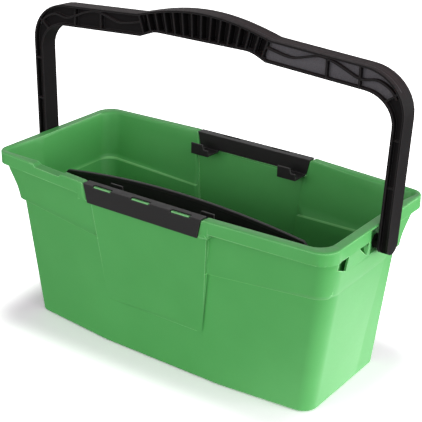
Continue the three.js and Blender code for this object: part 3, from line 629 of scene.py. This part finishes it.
# %% Painted highlight along the stacking ledge
LEDGE_HEIGHT = 167 * MM
LEDGE_RISE = 11 * MM
BEND_AT = 96 * MM
WALL_END = 256 * MM
BAND_MIDDLE = 0.4 * MM
BAND_REACH = 0.6 * MM
BAND_SOFT = 0.4 * MM
BAND_STRENGTH = 0.85


def ledge_highlight_band(material, height, side):
    """A mask for the painted highlight, a thin band that follows the height of the ledge."""
    climb = add_node(material, "ShaderNodeMapRange", {
        "From Min": BEND_AT, "From Max": WALL_END, "To Min": LEDGE_HEIGHT + BAND_MIDDLE,
        "To Max": LEDGE_HEIGHT + LEDGE_RISE + BAND_MIDDLE}, {"Value": side})
    off = add_node(material, "ShaderNodeMath", {"operation": "SUBTRACT"}, {
        0: height, 1: climb.outputs[0]})
    apart = add_node(material, "ShaderNodeMath", {"operation": "ABSOLUTE"}, {0: off.outputs[0]})
    band = add_node(material, "ShaderNodeMapRange", {
        "From Min": BAND_REACH, "From Max": BAND_REACH + BAND_SOFT,
        "To Min": BAND_STRENGTH, "To Max": 0.0}, {"Value": apart.outputs[0]})
    return band.outputs[0]


print("ledge from", round(LEDGE_HEIGHT / MM), "to", round((LEDGE_HEIGHT + LEDGE_RISE) / MM), "mm")

# %% [markdown]
# Where the tub has a step
#
# The step is missing across the raised panel on each long wall and outside the flush ends, and the
# painted highlight band has to stop there. The two panels are half-turn copies of each other, so
# one range serves both once the rear one is mirrored by the sign of its side.

# %% Stepped parts of the wall
PANEL_MIDDLE = 2.7 * MM
PANEL_HALF = 86 * MM
FLUSH_START = 248 * MM
FLUSH_END = 254 * MM


def stepped_wall(material, along, side):
    """A mask that is 1 where the wall has a step, off the panels and the flush ends."""
    facing = add_node(material, "ShaderNodeMath", {"operation": "SIGN"}, {0: along.outputs["Y"]})
    across = add_node(material, "ShaderNodeMath", {"operation": "MULTIPLY"}, {
        0: facing.outputs[0], 1: along.outputs["X"]})
    on_panel = add_node(material, "ShaderNodeMath", {
        "operation": "COMPARE", 1: -PANEL_MIDDLE, 2: PANEL_HALF}, {0: across.outputs[0]})
    off_panel = add_node(material, "ShaderNodeMath", {
        "operation": "SUBTRACT", 0: 1.0}, {1: on_panel.outputs[0]})
    off_end = add_node(material, "ShaderNodeMapRange", {
        "From Min": FLUSH_START, "From Max": FLUSH_END, "To Min": 1.0, "To Max": 0.0},
        {"Value": side})
    stepped = add_node(material, "ShaderNodeMath", {"operation": "MULTIPLY"}, {
        0: off_panel.outputs[0], 1: off_end.outputs[0]})
    return stepped.outputs[0]


print("panel width:", round(2 * PANEL_HALF / MM), "mm")

# %% [markdown]
# The tub's plastic as a whole
#
# The tub's finish is the green plastic with the painted highlight band mixed over its colour. The
# product of the two masks leaves the band only where the wall has a step, and the eye reads it as
# one thin, pale line of light that runs round the tub.

# %% Green plastic with a painted ledge highlight
def with_painted_ledge_highlight(name, plain):
    """The green plastic with a painted highlight band along the step on which stacked buckets
    rest.
    """
    material = plain.copy()
    material.name = name
    skin = material.node_tree.nodes["skin"]
    place = add_node(material, "ShaderNodeTexCoord").outputs["Object"]
    along = add_node(material, "ShaderNodeSeparateXYZ", None, {0: place})
    side = add_node(material, "ShaderNodeMath", {
        "operation": "ABSOLUTE"}, {0: along.outputs["X"]}).outputs[0]
    painted_ledge_mask = add_node(material, "ShaderNodeMath", {"operation": "MULTIPLY"}, {
        0: ledge_highlight_band(material, along.outputs["Z"], side), 1: stepped_wall(material, along, side)})
    # The pale green is the painted highlight along the ledge.
    colour = add_node(material, "ShaderNodeMix", {"data_type": "RGBA", 7: linear("#8fe28c")}, {
        0: painted_ledge_mask.outputs[0], 6: skin.inputs["Base Color"].links[0].from_socket})
    material.node_tree.links.new(colour.outputs[2], skin.inputs["Base Color"])
    return material


tub_plastic = with_painted_ledge_highlight("green_polypropylene_with_painted_ledge_highlight", green_plastic)
print("tub's plastic:", len(tub_plastic.node_tree.nodes), "nodes")

# %% [markdown]
# How much bevel an edge has room for
#
# A real bevel catches light that a shader's rounding can't, because it also softens the outline.
# One width for all edges would push the corners of thin ribs through each other. So each sharp
# edge gets its own share of the width, as much as the edges beside it leave room for.

# %% Room for bevels
SHARP_ANGLE = math.radians(28)
ROOM_SHARE = 0.42
STRAIGHT_ON = -0.5
LEAST_SPREAD = 0.2


def weigh_edges(mesh, width):
    """Gives each sharp edge the bevel that fits beside its neighbours, as a share of the width."""
    weights = mesh.edges.layers.float.new("bevel_weight_edge")
    sharp = {edge for edge in mesh.edges
             if len(edge.link_faces) == 2 and edge.calc_face_angle(0) > SHARP_ANGLE}
    for edge in sharp:
        room = width
        for vert in edge.verts:
            along = (edge.other_vert(vert).co - vert.co).normalized()
            for other in vert.link_edges:
                if other is edge:
                    continue
                away = other.other_vert(vert).co - vert.co
                if other in sharp and along.dot(away.normalized()) < STRAIGHT_ON:
                    continue
                spread = max(along.cross(away.normalized()).length, LEAST_SPREAD)
                room = min(room, ROOM_SHARE * away.length * spread)
        edge[weights] = room / width
    print("edges to bevel:", len(sharp))


# %% [markdown]
# From modifiers to a plain mesh
#
# Modifiers are a safe way to try a bevel or a node tree, but the frame takes finished meshes.
# Each piece is evaluated once, its result becomes its mesh, and the modifiers go.

# %% Plain meshes
def as_plain_mesh(piece):
    """Replaces a piece's mesh by what its modifiers make, and removes the modifiers."""
    depsgraph = bpy.context.evaluated_depsgraph_get()
    made = bpy.data.meshes.new_from_object(piece.evaluated_get(depsgraph))
    made.name = piece.name
    piece.modifiers.clear()
    piece.data = made
    print(piece.name, "faces:", len(made.polygons))
    return piece


# %% [markdown]
# One skin from loose triangles
#
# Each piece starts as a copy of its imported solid, because modelling the pieces again would risk
# their size. The loose triangles are merged into one skin, and flat neighbours are joined, so
# that a bevel finds long whole edges.

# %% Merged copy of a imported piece
MERGE_DISTANCE = 0.02 * MM
FLAT_ANGLE = math.radians(0.05)


def merged_copy(node_name, name, bevel_width, join_flats, reshape):
    """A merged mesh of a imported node, with its edges weighed if they are to be bevelled."""
    mesh = bmesh.new()
    mesh.from_mesh(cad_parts[node_name].data)
    bmesh.ops.remove_doubles(mesh, verts=mesh.verts, dist=MERGE_DISTANCE)
    if reshape:
        reshape(mesh)
    if join_flats:
        bmesh.ops.dissolve_limit(mesh, angle_limit=FLAT_ANGLE, verts=mesh.verts, edges=mesh.edges)
    if bevel_width:
        weigh_edges(mesh, bevel_width)
    data = bpy.data.meshes.new(name)
    mesh.to_mesh(data)
    mesh.free()
    for layer in list(data.uv_layers):
        data.uv_layers.remove(layer)
    return data


# %% [markdown]
# Finishing a moulded piece
#
# The edges where the skin turns by more than the limit are marked sharp, so that the long walls
# shade as the soft curves they are, and a weighted normal keeps the flat faces flat. Pieces whose
# edges are long and simple get a real bevel as well.

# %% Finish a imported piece
BEVEL_STEPS = 2


def finished_copy(node_name, name, material, bevel_width=0.0, join_flats=True, reshape=None):
    """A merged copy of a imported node, smooth between its sharp edges, and bevelled if asked."""
    data = merged_copy(node_name, name, bevel_width, join_flats, reshape)
    data.materials.clear()
    data.materials.append(material)
    data.shade_smooth()
    data.set_sharp_from_angle(angle=SHARP_ANGLE)
    piece = bpy.data.objects.new(name, data)
    bpy.context.scene.collection.objects.link(piece)
    if bevel_width:
        bevel = piece.modifiers.new("soft_edges", "BEVEL")
        bevel.width = bevel_width
        bevel.segments = BEVEL_STEPS
        bevel.limit_method = "WEIGHT"
        bevel.miter_outer = "MITER_SHARP"
        bevel.use_clamp_overlap = False
    weighted = piece.modifiers.new("flat_faces", "WEIGHTED_NORMAL")
    weighted.keep_sharp = True
    return as_plain_mesh(piece)


# %% [markdown]
# The tub's ledge
#
# Part way down, the wall steps inward by a few millimetres, and a stack of these buckets rests
# on that step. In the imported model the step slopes. On the real tub it is nearly flat, which is
# why it catches the light as one crisp line. Moving the points of its upper edge down the wall,
# along the wall's own slope, is enough, and leaves the mesh closed.

# %% Flatter ledge
LEDGE_BLEND = 3 * MM
LEDGE_FLAT = 0.9 * MM
LEDGE_REACH = 0.15 * MM
END_SLOPE = 0.13
SIDE_SLOPE = 0.1
SIDE_WIDTH = 105 * MM


def flatten_ledge(mesh):
    """Lowers the upper edge of the sloping step onto the wall's own slope, nearly level."""
    moved = 0
    for vert in mesh.verts:
        share = max(0.0, abs(vert.co.x) - BEND_AT) / (WALL_END - BEND_AT)
        step_top = LEDGE_HEIGHT + LEDGE_RISE * min(1.0, share) + LEDGE_BLEND
        flush = abs(vert.co.x) > FLUSH_END
        if abs(vert.co.z - step_top) < LEDGE_REACH and not flush:
            vert.co.z -= LEDGE_BLEND - LEDGE_FLAT
            rise = vert.co.z - (LEDGE_HEIGHT + LEDGE_RISE / 2)
            vert.co.x *= 1 + END_SLOPE * rise / WALL_END
            vert.co.y *= 1 + SIDE_SLOPE * rise / SIDE_WIDTH
            moved += 1
    print("ledge points lowered:", moved)


# %% [markdown]
# The tub
#
# The tub is one moulding with a hollow rim, pouring corners, raised panels and openings in its
# ends. Its curved walls are made of long thin triangles, and joining the flat ones would break
# their shading, so here they stay as they are.

# %% Tub
tub = finished_copy("tub", "tub_shell", tub_plastic, join_flats=False, reshape=flatten_ledge)
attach(tub, "bucket")
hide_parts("tub")

# %% [markdown]
# The tool clips
#
# Each clip is a folded black moulding that grips the rim and holds a squeegee with two hooks
# inside. Its edges are long and simple and sit right in the light, so they get a real bevel of
# half a millimetre, the radius that such a mould is given.

# %% Tool clips
CLIP_BEVEL = 0.5 * MM

for side in ("front", "rear"):
    clip = finished_copy(f"{side}_tool_clip", f"{side}_clip_moulding", black_plastic, CLIP_BEVEL)
    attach(clip, "bucket")
    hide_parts(f"{side}_tool_clip")

# %% [markdown]
# The bail
#
# The bail is an open channel with ribs a little over 2 mm thick. A bevel on all of them would
# cost many faces for edges that are hardly a pixel wide, so its edges are rounded in the
# material, and only its grip gets round edges of its own, further on.

# %% Bail
bail = finished_copy("bail_handle", "bail_moulding", bail_plastic)
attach(bail, "handle")
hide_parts("bail_handle")

# %% [markdown]
# The drain screen
#
# The screen is a plate with a stiffening bead round its edge and slots low down. The bead and
# the slots are what the light shows of it, so they get a bevel as well.

# %% Drain screen
SCREEN_BEVEL = 0.6 * MM

screen = finished_copy("drain_screen", "screen_moulding", black_plastic, SCREEN_BEVEL)
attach(screen, "screen")
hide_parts("drain_screen")

# %% [markdown]
# Noses of the grip's ribs: their paths
#
# The ribs of the grip are moulded in slots in the steel. The bottom of such a slot is round, so
# each thin rib ends in a round nose, which catches the light as a fine line. The ribs fan out a
# little, and the flanges above and below them curve, so each nose gets a straight path of its
# own. Its length is found by looking up and down from the middle of the gap beside the rib, in
# the bail's upright pose.

# %% The bail, upright
lean = (Matrix.Translation((0, 0, PIVOT_HEIGHT)) @ Matrix.Rotation(-LEAN, 4, "X")
        @ Matrix.Translation((0, 0, -PIVOT_HEIGHT)))
upright = [lean.inverted() @ vert.co for vert in bail.data.vertices]
bail_tree = BVHTree.FromPolygons(upright, [face.vertices[:] for face in bail.data.polygons])
print("upright bail is", round(max(vert.z for vert in upright) / MM, 1), "mm high")

# %% Path of one nose
RIB_FRONT = 12.7 * MM
GRIP_LOW = 419.6 * MM
RIB_FAN_REACH = 255 * MM
INSIDE_FRONT = 1 * MM
BESIDE_RIB = 3 * MM
NOSE_SUNK = 0.45 * MM
ABOVE_BAIL = 1.0
BELOW_BAIL = GRIP_LOW - 0.1


def nose_path(x, depth):
    """The two ends of the nose of the rib at x, on the side of the bail at this depth."""
    near = depth - math.copysign(INSIDE_FRONT, depth)
    high = bail_tree.ray_cast(Vector((x, near, ABOVE_BAIL)), Vector((0, 0, -1)))[0].z
    low = bail_tree.ray_cast(Vector((x, near, BELOW_BAIL)), Vector((0, 0, 1)))[0].z
    axis = Vector((x, 0, RIB_FAN_REACH)).normalized()
    middle = Vector((x, near, GRIP_LOW)) + axis * ((high + low) / 2 - GRIP_LOW)
    gap = middle + Vector((BESIDE_RIB, 0, 0))
    reach = [bail_tree.ray_cast(gap, axis * way)[3] for way in (-1, 1)]
    middle.y = depth - math.copysign(NOSE_SUNK, depth)
    return middle - axis * reach[0], middle + axis * reach[1]


print("middle nose:", [[round(x / MM, 1) for x in end] for end in nose_path(0, -RIB_FRONT)])

# %% Paths of all noses
RIB_COUNT = 15
RIB_SPACING = 13.3 * MM

ends = []
for number in range(RIB_COUNT):
    rib_x = (number - (RIB_COUNT - 1) / 2) * RIB_SPACING
    for depth in (-RIB_FRONT, RIB_FRONT):
        ends += [lean @ end for end in nose_path(rib_x, depth)]
lengths = [(b - a).length / MM for a, b in zip(ends[::2], ends[1::2])]
print("nose lengths in mm:", round(min(lengths), 1), "to", round(max(lengths), 1))

# %% [markdown]
# Noses of the grip's ribs: the node tree
#
# Thirty rods could be added one by one, but a Geometry Nodes tree sweeps the same round section
# along all the paths at once, and its radius stays a named input that can be tried out. The tree
# ends in real geometry with its material, because instances would be lost in the export.

# %% Node tree of the noses
NOSE_SIDES = 12

nose_tree = bpy.data.node_groups.new("rib_noses", "GeometryNodeTree")
nose_tree.interface.new_socket("Paths", in_out="INPUT", socket_type="NodeSocketGeometry")
radius_socket = nose_tree.interface.new_socket(
    "Nose radius", in_out="INPUT", socket_type="NodeSocketFloat")
nose_tree.interface.new_socket("Noses", in_out="OUTPUT", socket_type="NodeSocketGeometry")
nodes, join = nose_tree.nodes, nose_tree.links.new
group_in, group_out = nodes.new("NodeGroupInput"), nodes.new("NodeGroupOutput")
straight = nodes.new("GeometryNodeMeshToCurve")
section = nodes.new("GeometryNodeCurvePrimitiveCircle")
section.inputs["Resolution"].default_value = NOSE_SIDES
sweep = nodes.new("GeometryNodeCurveToMesh")
sweep.inputs["Fill Caps"].default_value = True
real = nodes.new("GeometryNodeRealizeInstances")
coat = nodes.new("GeometryNodeSetMaterial")
coat.inputs["Material"].default_value = bail_plastic
join(group_in.outputs["Paths"], straight.inputs["Mesh"])
join(group_in.outputs["Nose radius"], section.inputs["Radius"])
join(straight.outputs["Curve"], sweep.inputs["Curve"])
join(section.outputs["Curve"], sweep.inputs["Profile Curve"])
join(sweep.outputs["Mesh"], real.inputs["Geometry"])
join(real.outputs["Geometry"], coat.inputs["Geometry"])
join(coat.outputs["Geometry"], group_out.inputs["Noses"])
print("tree nodes:", len(nodes))

# %% Noses
NOSE_RADIUS = 0.85 * MM

paths = bpy.data.meshes.new("rib_nose_paths")
paths.from_pydata(ends, [(i, i + 1) for i in range(0, len(ends), 2)], [])
noses = bpy.data.objects.new("grip_rib_noses", paths)
bpy.context.scene.collection.objects.link(noses)
growth = noses.modifiers.new("rib_noses", "NODES")
growth.node_group = nose_tree
growth[radius_socket.identifier] = NOSE_RADIUS
as_plain_mesh(noses)
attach(noses, "handle")
